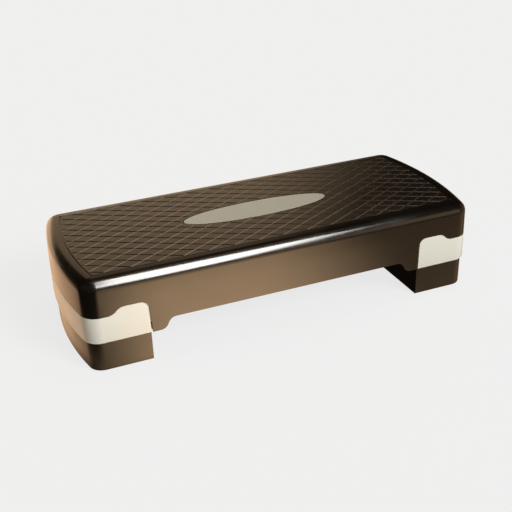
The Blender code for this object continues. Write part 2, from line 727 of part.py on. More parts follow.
def main():
    clear_scene()
    black = make_material("black_plastic", (0.018, 0.014, 0.010), 0.32)
    tread = make_material("tread_plastic", (0.022, 0.018, 0.014), 0.5)
    cream = make_material("cream_plastic", (0.76, 0.73, 0.63), 0.4)
    grey = make_material("badge_grey", (0.42, 0.40, 0.32), 0.45)
    rubber = make_material("pad_rubber", (0.02, 0.02, 0.02), 0.9)
    steel = make_material("pin_steel", (0.55, 0.55, 0.56), 0.35, 1.0)
    zinc = make_material("screw_zinc", (0.60, 0.59, 0.56), 0.4, 1.0)

    build_shell(black)
    build_mat(tread)
    build_badge(grey)
    for side_name, end in (("left", -1), ("right", 1)):
        build_collar(side_name, cream)
        foot = build_foot(side_name, black)
        hang_on(foot, None, end * PIVOT_X, 0, PIVOT_Z)
        pad_number = 0
        screw_number = 0
        for side, side_word in ((-1, "front"), (1, "rear")):
            build_pin(f"{side_name}_{side_word}_hinge_pin", end, side, steel)
            for x, y in PAD_PLACES:
                pad_number += 1
                pad = build_pad(f"{side_name}_foot_pad_{pad_number}", end * x, side * y, rubber)
                hang_on(pad, foot, end * x, side * y, 0)
            for x, y in SCREW_PLACES:
                screw_number += 1
                build_screw(f"{side_name}_collar_screw_{screw_number}", end * x, side * y, zinc)


main()
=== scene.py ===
"""Looks of a two-height aerobic step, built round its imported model.

X runs along the step, the front skirt faces -Y, Z is up, and sizes are in metres.
The sections follow the order in which the step is put together.
"""
import math

import bmesh
import bpy
from mathutils import Matrix, Vector


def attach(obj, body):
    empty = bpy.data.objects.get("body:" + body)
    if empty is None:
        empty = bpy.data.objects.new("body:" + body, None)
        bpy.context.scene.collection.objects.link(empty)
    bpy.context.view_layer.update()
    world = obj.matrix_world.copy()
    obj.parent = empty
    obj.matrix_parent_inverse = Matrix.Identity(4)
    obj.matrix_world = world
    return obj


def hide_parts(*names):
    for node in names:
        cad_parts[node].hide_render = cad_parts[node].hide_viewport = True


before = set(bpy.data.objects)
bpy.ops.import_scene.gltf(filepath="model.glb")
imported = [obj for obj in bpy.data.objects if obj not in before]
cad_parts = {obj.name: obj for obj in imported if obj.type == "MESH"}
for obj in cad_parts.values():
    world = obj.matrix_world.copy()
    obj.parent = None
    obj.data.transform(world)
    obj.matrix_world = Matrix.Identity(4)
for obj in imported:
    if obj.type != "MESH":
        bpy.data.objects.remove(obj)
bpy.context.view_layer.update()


# ---------------------------------------------------------------------------
# Platform shell: deck and skirts of the step, one black polypropylene moulding
# with ribs, hinge ears and screw posts underneath. It is moulded in one shot and
# carries every other piece; its satin skin picks up the room like dark varnish.
# ---------------------------------------------------------------------------
LENGTH, WIDTH, HEIGHT = 0.680, 0.280, 0.150
BASE = 0.050
END_BULGE = 0.019
CORNER_RADIUS = 0.026
DRAFT = math.tan(math.radians(0.5))
TOP_RADIUS = 0.017
SPRING = HEIGHT - TOP_RADIUS
SKIRT_WALL = 0.0026
DECK_THICKNESS = 0.0045
EDGE_ROUND = 0.0002
OVERCUT = 0.010

END_RADIUS = (WIDTH ** 2 / 4 + END_BULGE ** 2) / (2 * END_BULGE)
END_CENTRE = LENGTH / 2 - END_RADIUS
CORNER_STEPS, END_STEPS, FILLET_STEPS = 10, 16, 10
MERGED, CLOSED_UP = 1e-6, 1e-7


def begin(primitive, **options):
    """Add a primitive, alone selected, and open it for editing."""
    bpy.ops.object.select_all(action="DESELECT")
    primitive(**options)
    bpy.ops.object.mode_set(mode="EDIT")
    bpy.ops.mesh.select_mode(type="VERT")
    return bpy.context.active_object


def close(piece):
    """Leave edit mode with doubles merged and faces turned outwards."""
    bpy.ops.mesh.select_all(action="SELECT")
    bpy.ops.mesh.remove_doubles(threshold=MERGED)
    bpy.ops.mesh.normals_make_consistent(inside=False)
    bpy.ops.object.mode_set(mode="OBJECT")
    return piece


def line(points):
    """Draw a line of edges through points, from a plane merged to one corner."""
    piece = begin(bpy.ops.mesh.primitive_plane_add, size=0.01)
    bpy.ops.mesh.select_all(action="SELECT")
    bpy.ops.mesh.merge(type="CENTER")
    bpy.ops.transform.translate(value=points[0])
    for here, there in zip(points, points[1:]):
        step = Vector(there) - Vector(here)
        bpy.ops.mesh.extrude_vertices_move(TRANSFORM_OT_translate={"value": step})
    return piece


def filled(outline):
    """Draw a flat closed outline with one face in it, left open for editing."""
    piece = line(outline + outline[:1])
    bpy.ops.mesh.select_all(action="SELECT")
    bpy.ops.mesh.remove_doubles(threshold=CLOSED_UP)
    bpy.ops.mesh.edge_face_add()
    return piece


def pulled(outline, front, depth):
    """Solid from a front-view outline of (x, z) points, pulled back from its front."""
    piece = filled([(x, front, z) for x, z in outline])
    bpy.ops.mesh.extrude_region_move(TRANSFORM_OT_translate={"value": (0, depth, 0)})
    return close(piece)


def through(outline):
    """Solid from a front-view outline, longer than the step is wide."""
    return pulled(outline, -WIDTH, 2 * WIDTH)


def arc(centre, radius, first, last, steps):
    """Points of a circular arc in a plane, between two angles in degrees."""
    points = []
    for step in range(steps + 1):
        angle = math.radians(first + (last - first) * step / steps)
        points.append((centre[0] + radius * math.cos(angle), centre[1] + radius * math.sin(angle)))
    return points


def swept_round(section, closed=False, corner=CORNER_RADIUS):
    """Carry a wall section of (inset, height) points once round the plan of the step."""
    corner_y = WIDTH / 2 - corner
    corner_x = END_CENTRE + math.sqrt((END_RADIUS - corner) ** 2 - corner_y ** 2)
    end_turn = math.atan2(corner_y, corner_x - END_CENTRE)
    piece = line([(-corner_x, inset - WIDTH / 2, z) for inset, z in section])
    bpy.ops.mesh.select_all(action="SELECT")
    for side in (1, -1):
        along = (2 * side * corner_x, 0, 0)
        bpy.ops.mesh.extrude_edges_move(TRANSFORM_OT_translate={"value": along})
        for steps, turn, centre in (
            (CORNER_STEPS, math.pi / 2 - end_turn, (side * corner_x, -side * corner_y, 0)),
            (END_STEPS, 2 * end_turn, (side * END_CENTRE, 0, 0)),
            (CORNER_STEPS, math.pi / 2 - end_turn, (side * corner_x, side * corner_y, 0)),
        ):
            bpy.ops.mesh.spin(steps=steps, angle=-turn, center=centre, axis=(0, 0, 1))
    bpy.ops.mesh.select_all(action="SELECT")
    bpy.ops.mesh.remove_doubles(threshold=MERGED)
    if not closed:
        bpy.ops.mesh.fill_holes(sides=0)
    return close(piece)


def block(low, high):
    """Box between two corners."""
    middle = [(a + b) / 2 for a, b in zip(low, high)]
    piece = begin(bpy.ops.mesh.primitive_cube_add, size=1)
    bpy.ops.mesh.select_all(action="SELECT")
    bpy.ops.transform.resize(value=[b - a for a, b in zip(low, high)])
    bpy.ops.transform.translate(value=middle)
    return close(piece)


def turned(section, along, place, sides=32):
    """Round piece from (place on the axis, radius) points: a circle pulled and scaled."""
    piece = begin(bpy.ops.mesh.primitive_circle_add, vertices=sides, radius=section[0][1],
                  fill_type="NGON")
    bpy.ops.mesh.select_all(action="SELECT")
    bpy.ops.transform.translate(value=(0, 0, section[0][0]))
    for (here, radius), (there, after) in zip(section, section[1:]):
        bpy.ops.mesh.extrude_region_move(TRANSFORM_OT_translate={"value": (0, 0, there - here)})
        shape = bmesh.from_edit_mesh(piece.data)
        for corner in shape.verts:
            if corner.select:
                corner.co.x *= after / radius
                corner.co.y *= after / radius
        bmesh.update_edit_mesh(piece.data)
    close(piece)
    if along == "Y":
        piece.data.transform(Matrix.Rotation(-math.pi / 2, 4, "X"))
    piece.data.transform(Matrix.Translation(place))
    return piece


def work(piece, tool, operation="DIFFERENCE"):
    """Cut a tool out of a piece, add it, or keep what they share, and remove the tool."""
    modifier = piece.modifiers.new("work", "BOOLEAN")
    modifier.operation = operation
    modifier.object = tool
    modifier.solver = "EXACT"
    with bpy.context.temp_override(object=piece, active_object=piece):
        bpy.ops.object.modifier_apply(modifier=modifier.name)
    bpy.data.objects.remove(tool)
    return piece


def flipped(piece):
    """Copy of a right-hand piece for the left end."""
    twin = piece.copy()
    twin.data = piece.data.copy()
    bpy.context.scene.collection.objects.link(twin)
    twin.data.transform(Matrix.Scale(-1, 4, (1, 0, 0)))
    twin.data.flip_normals()
    return twin


def fitted(piece, name, body, material, smooth=30):
    """Name a finished piece, give it its finish, and let it stand for its CAD node."""
    piece.name = name + "_skin"
    piece.data.name = piece.name
    piece.data.materials.clear()
    piece.data.materials.append(material)
    bpy.ops.object.select_all(action="DESELECT")
    piece.select_set(True)
    bpy.context.view_layer.objects.active = piece
    bpy.ops.object.shade_smooth_by_angle(angle=math.radians(smooth))
    piece.select_set(False)
    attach(piece, body)
    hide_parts(name)


class Link:
    """Output of a shader node. Arithmetic on it adds Math nodes."""

    def __init__(self, finish, output):
        self.finish, self.output = finish, output

    def maths(self, operation, first, second):
        return self.finish.node("Math", {"operation": operation}, {0: first, 1: second})

    def __add__(self, other):
        return self.maths("ADD", self, other)

    def __sub__(self, other):
        return self.maths("SUBTRACT", self, other)

    def __rsub__(self, other):
        return self.maths("SUBTRACT", other, self)

    def __mul__(self, other):
        return self.maths("MULTIPLY", self, other)

    def __truediv__(self, other):
        return self.maths("DIVIDE", self, other)

    def __rtruediv__(self, other):
        return self.maths("DIVIDE", other, self)

    __radd__, __rmul__ = __add__, __mul__


class Finish:
    """A node tree of a material or of the world, and one way to add a node to it."""

    def __init__(self, owner, constants=()):
        owner.use_nodes = True
        self.tree = owner.node_tree
        self.shader = self.tree.nodes.get("Principled BSDF")
        for socket, value in dict(constants).items():
            self.show(socket, value)

    def node(self, kind, settings=(), inputs=(), output=0):
        made = self.tree.nodes.new("ShaderNode" + kind)
        for name, value in dict(settings).items():
            setattr(made, name, value)
        for socket, value in dict(inputs).items():
            self.feed(made.inputs[socket], value)
        return Link(self, made.outputs[output])

    def feed(self, socket, value):
        if isinstance(value, Link):
            self.tree.links.new(value.output, socket)
        elif socket.type == "RGBA":
            socket.default_value = (*value, 1)
        else:
            socket.default_value = value

    def show(self, socket, value):
        """Feed a socket of the material's own shader."""
        self.feed(self.shader.inputs[socket], value)

    def give(self, shader):
        """Send another shader to the material's output."""
        self.feed(self.tree.nodes["Material Output"].inputs["Surface"], shader)

    def place(self):
        """Where a point lies on the piece, in metres."""
        return self.node("TexCoord", output="Object")

    def axes(self, vector):
        """X, Y and Z of a vector."""
        split = self.node("SeparateXYZ", {}, {0: vector}).output.node
        return [Link(self, output) for output in split.outputs]

    def noise(self, scale, detail=2.0, where=None):
        """Noise with so many cells to the metre."""
        inputs = {"Vector": where or self.place(), "Scale": scale, "Detail": detail}
        return self.node("TexNoise", {}, inputs)

    def between(self, value, low, high, start=0.0, end=1.0):
        """Value carried from one range to another along a smooth step."""
        return self.node("MapRange", {"interpolation_type": "SMOOTHSTEP"},
                         {0: value, 1: low, 2: high, 3: start, 4: end})

    def mixed(self, share, first, second):
        """Colour between two colours."""
        return self.node("Mix", {"data_type": "RGBA"}, {0: share, 6: first, 7: second}, output=2)

    def grain(self, height, distance):
        """Relief of a height in 0 to 1 that is so many metres deep."""
        bump = self.node("Bump", {}, {"Height": height, "Distance": distance, "Strength": 1.0})
        self.show("Normal", bump)


def moulded_black(name, roughness, colour, grain_size, grain_depth):
    """Satin black polypropylene: spark-eroded grain, and a skin that is never quite even."""
    material = bpy.data.materials.new(name)
    skin = Finish(material, {"Specular IOR Level": 0.42})
    cloud = skin.between(skin.noise(9.0, 3.0), 0.35, 0.65)
    darker, lighter = ([share * part for part in colour] for share in (0.86, 1.14))
    skin.show("Base Color", skin.mixed(cloud, darker, lighter))
    uneven = skin.between(skin.noise(38.0, 4.0), 0.3, 0.7, -0.02, 0.02)
    skin.show("Roughness", cloud * 0.03 + uneven + roughness)
    skin.grain(skin.noise(1.0 / grain_size, 1.0), grain_depth)
    return material


ARCH_HEIGHT, ARCH_HALF_LENGTH = 0.068, 0.197
ARCH_SLOPE_RUN, ARCH_ROUND = 0.009, 0.013
SEAM_GAP, TAB_SEAM, SEAT_GAP = 0.0004, 0.0015, 0.0003
MAT_BORDER, MAT_GAP, MAT_CORNER = 0.0257, 0.0014, 0.004
RECESS_FLOOR = 0.148
RIM_SLOPE, RIM_DROP, RIM_STEP = 9, 0.0007, 0.0004
CROWN_STEPS, CROWN_CURVE = 6, 1.35
COLLAR_X = 0.2283
TAB_TOP, TAB_END, TAB_ROUND, TAB_LEAN = 0.1035, 0.2718, 0.012, 0.002
BAND_TOP, SHOULDER_RUN, SHOULDER_ROUND = 0.092, 0.012, 0.018


def rounded(corners, steps=8):
    """Front-view outline through corners given as (x, z, radius)."""
    points = []
    for index, (x, z, radius) in enumerate(corners):
        here = Vector((x, z))
        if radius == 0:
            points.append((x, z))
            continue
        back = (Vector(corners[index - 1][:2]) - here).normalized()
        ahead = (Vector(corners[(index + 1) % len(corners)][:2]) - here).normalized()
        half = back.angle(ahead) / 2
        middle = here + (back + ahead).normalized() * radius / math.sin(half)
        start = here + back * radius / math.tan(half) - middle
        turn = start.angle_signed(here + ahead * radius / math.tan(half) - middle)
        for step in range(steps + 1):
            points.append(tuple(middle + Matrix.Rotation(-turn * step / steps, 2) @ start))
    return points


def collar_outline(grow, ease=0.0):
    """Front view of the right collar: upright inner edge, tab, shoulder and band."""
    base = BASE - (OVERCUT if grow > 0 else 0)
    lean = TAB_LEAN * (TAB_TOP - base) / (TAB_TOP - BASE)
    inner_edge = COLLAR_X - grow - ease + TAB_LEAN
    shift = grow * math.tan(math.atan2(TAB_TOP - BAND_TOP, SHOULDER_RUN) / 2)
    return rounded([
        (inner_edge - lean, base, 0),
        (inner_edge, TAB_TOP + grow, TAB_ROUND + grow),
        (TAB_END + shift, TAB_TOP + grow, SHOULDER_ROUND + grow),
        (TAB_END + SHOULDER_RUN + shift, BAND_TOP + grow, SHOULDER_ROUND - grow),
        (LENGTH / 2 + OVERCUT, BAND_TOP + grow, 0),
        (LENGTH / 2 + OVERCUT, base, 0),
    ])


def wall(inset, z):
    """Point of a drafted wall: (inset at that height, height)."""
    return inset + (z - BASE) * DRAFT, z


def fillet(inset, radius, last=90, drop=0.0):
    """Round from a drafted wall onto the deck."""
    start = wall(inset, SPRING)[0]
    return arc((start + radius, SPRING - drop), radius, 180, last, FILLET_STEPS)


# crowned rim, skirt and both faces of the wall, then the recess that the mat lies in
crest = (MAT_BORDER - RIM_STEP, HEIGHT)
shoulder = fillet(0, TOP_RADIUS, 90 + RIM_SLOPE, RIM_DROP)
section = [crest]
for step in range(1, CROWN_STEPS):
    share = step / CROWN_STEPS
    section.append((crest[0] + (shoulder[-1][0] - crest[0]) * share,
                    crest[1] + (shoulder[-1][1] - crest[1]) * share ** CROWN_CURVE))
section += list(reversed(shoulder)) + [wall(0, BASE), wall(SKIRT_WALL, BASE)]
section += fillet(SKIRT_WALL, TOP_RADIUS - DECK_THICKNESS)
shell = swept_round(section)
recess_edge = MAT_BORDER - MAT_GAP
recess_mouth = recess_edge - EDGE_ROUND
recess = [(recess_edge, RECESS_FLOOR), (recess_edge, HEIGHT - EDGE_ROUND),
          (recess_mouth, HEIGHT), (recess_mouth, HEIGHT + OVERCUT)]
work(shell, swept_round(recess, corner=recess_edge + MAT_CORNER))

# arch along both sides, and notches for the collars
slope_foot = ARCH_HALF_LENGTH + ARCH_SLOPE_RUN
far = slope_foot + ARCH_ROUND + OVERCUT
half_arch = [(ARCH_HALF_LENGTH, ARCH_HEIGHT, ARCH_ROUND), (slope_foot, BASE, ARCH_ROUND),
             (far, BASE, 0), (far, BASE - OVERCUT, 0)]
arch = half_arch + [(-x, z, radius) for x, z, radius in reversed(half_arch)]
work(shell, through(rounded(arch)))
notch = through(collar_outline(SEAM_GAP, TAB_SEAM))
work(shell, flipped(notch))
work(shell, notch)

# ribs, trimmed to the middle of the wall; the folded feet lie below them
RIB_UNDERSIDE, RIB_PITCH, RIB_THICKNESS, ROOT = 0.1185, 0.052, 0.002, 0.001
PIVOT_X, PIVOT_Z = 0.2178, 0.0585
half_rib = RIB_THICKNESS / 2
deck_root = HEIGHT - DECK_THICKNESS + ROOT
blades = [block((-LENGTH, y - half_rib, RIB_UNDERSIDE), (LENGTH, y + half_rib, deck_root))
          for y in (index * RIB_PITCH for index in range(-2, 3))]
blades += [block((x - half_rib, -WIDTH, RIB_UNDERSIDE), (x + half_rib, WIDTH, deck_root))
           for x in (index * PIVOT_X / 3 for index in range(-3, 4))]
ribs = blades[0]
for blade in blades[1:]:
    work(ribs, blade, "UNION")
mid_wall = SKIRT_WALL / 2
trim = swept_round([wall(mid_wall, BASE)] + fillet(mid_wall, TOP_RADIUS - mid_wall))
work(shell, work(ribs, trim, "INTERSECT"), "UNION")

# hinge ears, blind bosses behind the lugs, and screw posts
EAR_IN, EAR_OUT, EAR_RADIUS, EAR_ROOT, EAR_STEPS = 0.1187, 0.1227, 0.0085, 0.0205, 14
BOSS_FACE, BOSS_RADIUS = 0.1333, 0.006
BORE_RADIUS, BORE_END = 0.0033, 0.1378
SCREWS = ((0.2593, 2 * RIB_PITCH), (0.314, RIB_PITCH))
WEB_TOP = 0.0825
POST_RADIUS, POST_ROOT_RADIUS = 0.005, 0.0054
HOLE_RADIUS, HOLE_TOP = 0.0022, 0.0963
SMALL_SIDES = 24
for end in (1, -1):
    pivot = (end * PIVOT_X, 0, PIVOT_Z)
    for side in (1, -1):
        ear = [(end * (PIVOT_X + x), PIVOT_Z + z)
               for x, z in arc((0, 0), EAR_RADIUS, 180, 360, EAR_STEPS)]
        ear += [(end * (PIVOT_X + EAR_ROOT), deck_root), (end * (PIVOT_X - EAR_RADIUS), deck_root)]
        front = min(side * EAR_IN, side * EAR_OUT)
        work(shell, pulled(ear, front, EAR_OUT - EAR_IN), "UNION")
        boss = [(side * BOSS_FACE, BOSS_RADIUS), (side * (WIDTH - SKIRT_WALL) / 2, BOSS_RADIUS)]
        work(shell, turned(boss, "Y", pivot), "UNION")
        bore = [(side * (EAR_IN - OVERCUT), BORE_RADIUS), (side * BORE_END, BORE_RADIUS)]
        work(shell, turned(bore, "Y", pivot))
        for x, y in SCREWS:
            post = [(WEB_TOP + SEAT_GAP, POST_RADIUS), (deck_root, POST_ROOT_RADIUS)]
            hole = [(WEB_TOP - OVERCUT, HOLE_RADIUS), (HOLE_TOP, HOLE_RADIUS)]
            work(shell, turned(post, "Z", (end * x, side * y, 0), SMALL_SIDES), "UNION")
            work(shell, turned(hole, "Z", (end * x, side * y, 0), SMALL_SIDES))
black = moulded_black("satin_black", 0.17, (0.0048, 0.0036, 0.0025), 0.00045, 0.0000035)
fitted(shell, "platform_shell", "platform", black)


# ---------------------------------------------------------------------------
# Tread mat: the standing surface, a thin moulded sheet laid in the deck's recess.
# Its diamonds stand between fine V grooves, with a plain rim round the mat and
# round the badge, so that a wet sole finds an edge in every direction.
# ---------------------------------------------------------------------------
DIAMOND_LENGTH, DIAMOND_WIDTH = 0.0405, 0.0225
DIAMOND_EDGE, DIAMOND_DROP, DIAMOND_CLEARANCE = 0.0003, 0.00007, 0.00002
CELLS = 46
GROOVE_WIDTH, GROOVE_DEPTH = 0.0024, 0.0006
MAT_FLOOR = RECESS_FLOOR + SEAT_GAP
MAT_RIM, MAT_EDGE, LAP = 0.002, 0.00012, 0.00005
TREAD_SMOOTH = 9
BADGE_LENGTH, BADGE_WIDTH = 0.251, 0.060
BADGE_GAP, BADGE_FRAME = 0.001, 0.003


def pick(piece, kind, wanted):
    """Select the corners or faces for which wanted(middle, normal) holds."""
    bpy.ops.mesh.select_mode(type=kind)
    bpy.ops.mesh.select_all(action="DESELECT")
    shape = bmesh.from_edit_mesh(piece.data)
    if kind == "VERT":
        for corner in shape.verts:
            corner.select_set(wanted(corner.co, corner.normal))
    else:
        for face in shape.faces:
            face.select_set(wanted(face.calc_center_median(), face.normal))
    shape.select_flush_mode()
    bmesh.update_edit_mesh(piece.data)


def oval(grow, bottom, top):
    """Upright prism on the badge's outline, grown by so much all round."""
    piece = begin(bpy.ops.mesh.primitive_cylinder_add, vertices=128, radius=1, depth=top - bottom,
                  location=(0, 0, (top + bottom) / 2))
    bpy.ops.mesh.select_all(action="SELECT")
    bpy.ops.transform.resize(value=(BADGE_LENGTH / 2 + grow, BADGE_WIDTH / 2 + grow, 1))
    close(piece)
    piece.data.transform(piece.matrix_world)
    piece.matrix_world = Matrix()
    return piece


# a square grid turned and squeezed into the lattice of diamonds, each drawn up into a pad
diamonds = begin(bpy.ops.mesh.primitive_grid_add, x_subdivisions=CELLS, y_subdivisions=CELLS,
                 size=CELLS / math.sqrt(2))
bpy.ops.mesh.select_all(action="SELECT")
bpy.ops.transform.rotate(value=math.pi / 4, orient_axis="Z", center_override=(0, 0, 0))
bpy.ops.transform.resize(value=(DIAMOND_LENGTH, DIAMOND_WIDTH, 1))
pick(diamonds, "FACE",
     lambda middle, normal: abs(middle.x) > LENGTH / 2 or abs(middle.y) > WIDTH / 2)
bpy.ops.mesh.delete(type="FACE")
bpy.ops.mesh.select_all(action="SELECT")
bpy.ops.transform.translate(value=(0, 0, HEIGHT - GROOVE_DEPTH))
bpy.ops.mesh.inset(use_individual=True, thickness=GROOVE_WIDTH / 2, depth=0)
bpy.ops.transform.translate(value=(0, 0, GROOVE_DEPTH - DIAMOND_DROP - DIAMOND_CLEARANCE))
bpy.ops.mesh.inset(use_individual=True, thickness=DIAMOND_EDGE, depth=0)
bpy.ops.transform.translate(value=(0, 0, DIAMOND_DROP))
bpy.ops.mesh.select_all(action="DESELECT")
bpy.ops.mesh.select_mode(type="EDGE")
bpy.ops.mesh.select_non_manifold()
down = (0, 0, MAT_FLOOR - HEIGHT + GROOVE_DEPTH)
bpy.ops.mesh.extrude_edges_move(TRANSFORM_OT_translate={"value": down})
bpy.ops.mesh.edge_face_add()
close(diamonds)

# the part of the lattice inside the rim and outside the badge's frame, then rim and frame
rim_inset, mat_corner = MAT_BORDER + MAT_RIM, MAT_BORDER + MAT_CORNER
field = swept_round([(rim_inset, MAT_FLOOR - OVERCUT), (rim_inset, HEIGHT + OVERCUT)],
                    corner=mat_corner)
frame_grow = BADGE_GAP + BADGE_FRAME
work(field, oval(frame_grow, MAT_FLOOR - 2 * OVERCUT, HEIGHT + 2 * OVERCUT))
work(diamonds, field, "INTERSECT")
lapped = rim_inset + LAP
mat = swept_round([(lapped, MAT_FLOOR), (lapped, HEIGHT), (MAT_BORDER + MAT_EDGE, HEIGHT),
                   (MAT_BORDER, HEIGHT - MAT_EDGE), (MAT_BORDER, MAT_FLOOR), (lapped, MAT_FLOOR)],
                  closed=True, corner=mat_corner)
ring = oval(frame_grow + LAP, MAT_FLOOR, HEIGHT)
work(ring, oval(BADGE_GAP, MAT_FLOOR - OVERCUT, HEIGHT + OVERCUT))
work(mat, ring, "UNION")
work(mat, diamonds, "UNION")
tread = moulded_black("tread_black", 0.20, (0.0062, 0.0048, 0.0034), 0.0006, 0.000012)
fitted(mat, "tread_mat", "platform", tread, TREAD_SMOOTH)


# ---------------------------------------------------------------------------
# Badge plate: a thin grey oval of moulded plastic with a fine raised rim, pressed
# into the middle of the tread. Its face is left bare.
# ---------------------------------------------------------------------------
BADGE_CHAMFER, BADGE_RIM, BADGE_STEP = 0.0004, 0.0012, 0.0003
badge = oval(-SEAT_GAP, MAT_FLOOR, HEIGHT)
bpy.context.view_layer.objects.active = badge
bpy.ops.object.mode_set(mode="EDIT")
pick(badge, "FACE", lambda middle, normal: normal.z > 0.9)
bpy.ops.mesh.inset(thickness=BADGE_CHAMFER, depth=0)
bpy.ops.mesh.inset(thickness=BADGE_RIM, depth=0)
bpy.ops.mesh.inset(thickness=BADGE_STEP, depth=-BADGE_STEP)
half_length, half_width = BADGE_LENGTH / 2 - SEAT_GAP, BADGE_WIDTH / 2 - SEAT_GAP
pick(badge, "VERT", lambda place, normal: place.z > HEIGHT - 1e-5
     and (place.x / half_length) ** 2 + (place.y / half_width) ** 2 > 0.9999)
bpy.ops.transform.translate(value=(0, 0, -BADGE_CHAMFER))
close(badge)
grey = bpy.data.materials.new("badge_grey")
face = Finish(grey, {"Specular IOR Level": 0.4})
speck = face.noise(900.0, 2.0)
face.show("Base Color", face.mixed(face.between(speck, 0.3, 0.7), (0.38, 0.370, 0.299),
                                   (0.427, 0.414, 0.338)))
face.show("Roughness", face.between(face.noise(60.0, 3.0), 0.3, 0.7, 0.38, 0.46))
face.grain(speck, 0.00001)
fitted(badge, "badge_plate", "platform", grey)


# ---------------------------------------------------------------------------
# End collars: cream polypropylene bands with a tab at the front and rear, flush
# with the black skirts. A web and ribs inside pull up to the shell, and the step
# stands on their lower edges when the feet are folded.
# ---------------------------------------------------------------------------
COLLAR_EDGE, COLLAR_BEVEL = 0.0008, 0.00025
LIP_FLOOR, LIP_THICKNESS, LIP_RISE, LIP_REACH = 0.066, 0.002, 0.006, 0.003
BRIDGE_LAP, BRIDGE_INSET = 0.001, 0.0005
WEB_UNDERSIDE, WEB_SETBACK = 0.080, 0.006
WEB_RIB_PITCH, WEB_RIB_X, WEB_RIB_FOOT, WEB_RIB_HEAD = 0.056, 0.2873, 0.0543, 0.08125


def band(outside, inside, bottom, top):
    """Upright band between two insets."""
    return swept_round([wall(outside, bottom), wall(outside, top), wall(inside, top),
                        wall(inside, bottom), wall(outside, bottom)], closed=True)


collar = swept_round([wall(COLLAR_EDGE, BASE), wall(COLLAR_BEVEL, BASE + COLLAR_BEVEL),
                      wall(0, BASE + COLLAR_EDGE), wall(0, TAB_TOP + OVERCUT),
                      wall(SKIRT_WALL, TAB_TOP + OVERCUT), wall(SKIRT_WALL, BASE),
                      wall(COLLAR_EDGE, BASE)], closed=True)
work(collar, through(collar_outline(0)), "INTERSECT")

# bridge and lip that reach up behind the edge of the shell
lip_face = SKIRT_WALL + SEAM_GAP
bridge = band(SKIRT_WALL / 2, lip_face + BRIDGE_LAP, LIP_FLOOR, TAB_TOP)
work(collar, work(bridge, through(collar_outline(-BRIDGE_INSET)), "INTERSECT"), "UNION")
lip = band(lip_face, lip_face + LIP_THICKNESS, LIP_FLOOR, TAB_TOP + LIP_RISE)
work(collar, work(lip, through(collar_outline(LIP_REACH)), "INTERSECT"), "UNION")

# web with its ribs and screw holes
web_near = COLLAR_X + WEB_SETBACK
web = block((web_near, -WIDTH, WEB_UNDERSIDE), (LENGTH, WIDTH, WEB_TOP))
for index in range(-2, 2):
    y = (index + 0.5) * WEB_RIB_PITCH
    work(web, block((web_near + half_rib, y - half_rib, WEB_RIB_FOOT),
                    (LENGTH, y + half_rib, WEB_RIB_HEAD)), "UNION")
work(web, block((WEB_RIB_X - half_rib, -WIDTH, WEB_RIB_FOOT),
                (WEB_RIB_X + half_rib, WIDTH, WEB_RIB_HEAD)), "UNION")
work(web, swept_round([wall(mid_wall, BASE), wall(mid_wall, TAB_TOP)]), "INTERSECT")
work(collar, web, "UNION")
for x, y in SCREWS:
    for side in (1, -1):
        hole = [(BASE, HOLE_RADIUS), (TAB_TOP, HOLE_RADIUS)]
        work(collar, turned(hole, "Z", (x, side * y, 0), SMALL_SIDES))

cream = bpy.data.materials.new("cream_polypropylene")
skin = Finish(cream, {"Specular IOR Level": 0.45})
cloud = skin.between(skin.noise(14.0, 3.0), 0.3, 0.7)
skin.show("Base Color", skin.mixed(cloud, (0.743, 0.735, 0.650), (0.755, 0.747, 0.664)))
skin.show("Roughness", skin.between(skin.noise(45.0, 3.0), 0.3, 0.7, 0.25, 0.27))
skin.grain(skin.noise(1800.0, 1.0), 0.000003)
left_collar = flipped(collar)
fitted(collar, "right_end_collar", "platform", cream)
fitted(left_collar, "left_end_collar", "platform", cream)


# ---------------------------------------------------------------------------
# Collar screws: zinc-plated pan-head screws, four to a collar, driven up through
# the collar's web into the posts under the deck.
# ---------------------------------------------------------------------------
SHANK, SHANK_END, POINT, POINT_END = 0.0019, 0.0941, 0.0006, 0.096
SLOT_REACH, SLOT_HALF_WIDTH, SLOT_DEPTH = 0.0021, 0.00045, 0.0014
HEAD_HEIGHT = 0.0026
head_top = WEB_UNDERSIDE - SEAT_GAP
head_low = head_top - HEAD_HEIGHT
ENDS = (("left", -1), ("right", 1))


def set_out(model, places, title, body, material):
    """Fix copies of a small piece at its places in both ends, and remove the model."""
    for end_word, end in ENDS:
        spots = [(end * x, side * y, 0) for side in (-1, 1) for x, y in places]
        for number, spot in enumerate(spots, 1):
            one = model.copy()
            one.data = model.data.copy()
            bpy.context.scene.collection.objects.link(one)
            one.data.transform(Matrix.Translation(spot))
            fitted(one, f"{end_word}_{title}_{number}", body.format(end_word), material)
    bpy.data.objects.remove(model)


zinc = bpy.data.materials.new("zinc_plate")
plating = Finish(zinc, {"Metallic": 1.0})
plating.show("Base Color", plating.mixed(plating.noise(700.0, 2.0), (0.56, 0.55, 0.52),
                                         (0.66, 0.65, 0.62)))
plating.show("Roughness", plating.between(plating.noise(500.0), 0.3, 0.7, 0.28, 0.42))
screw = turned([(head_low, 0.0021), (head_low + 0.0003, 0.0031), (head_low + 0.0009, 0.0038),
                (head_top - 0.0002, 0.004), (head_top, 0.0038), (head_top, SHANK),
                (SHANK_END, SHANK), (POINT_END, POINT)], "Z", (0, 0, 0), SMALL_SIDES)
for x, y in ((SLOT_REACH, SLOT_HALF_WIDTH), (SLOT_HALF_WIDTH, SLOT_REACH)):
    work(screw, block((-x, -y, head_low - 0.001), (x, y, head_low + SLOT_DEPTH)))
set_out(screw, SCREWS, "collar_screw", "platform", zinc)


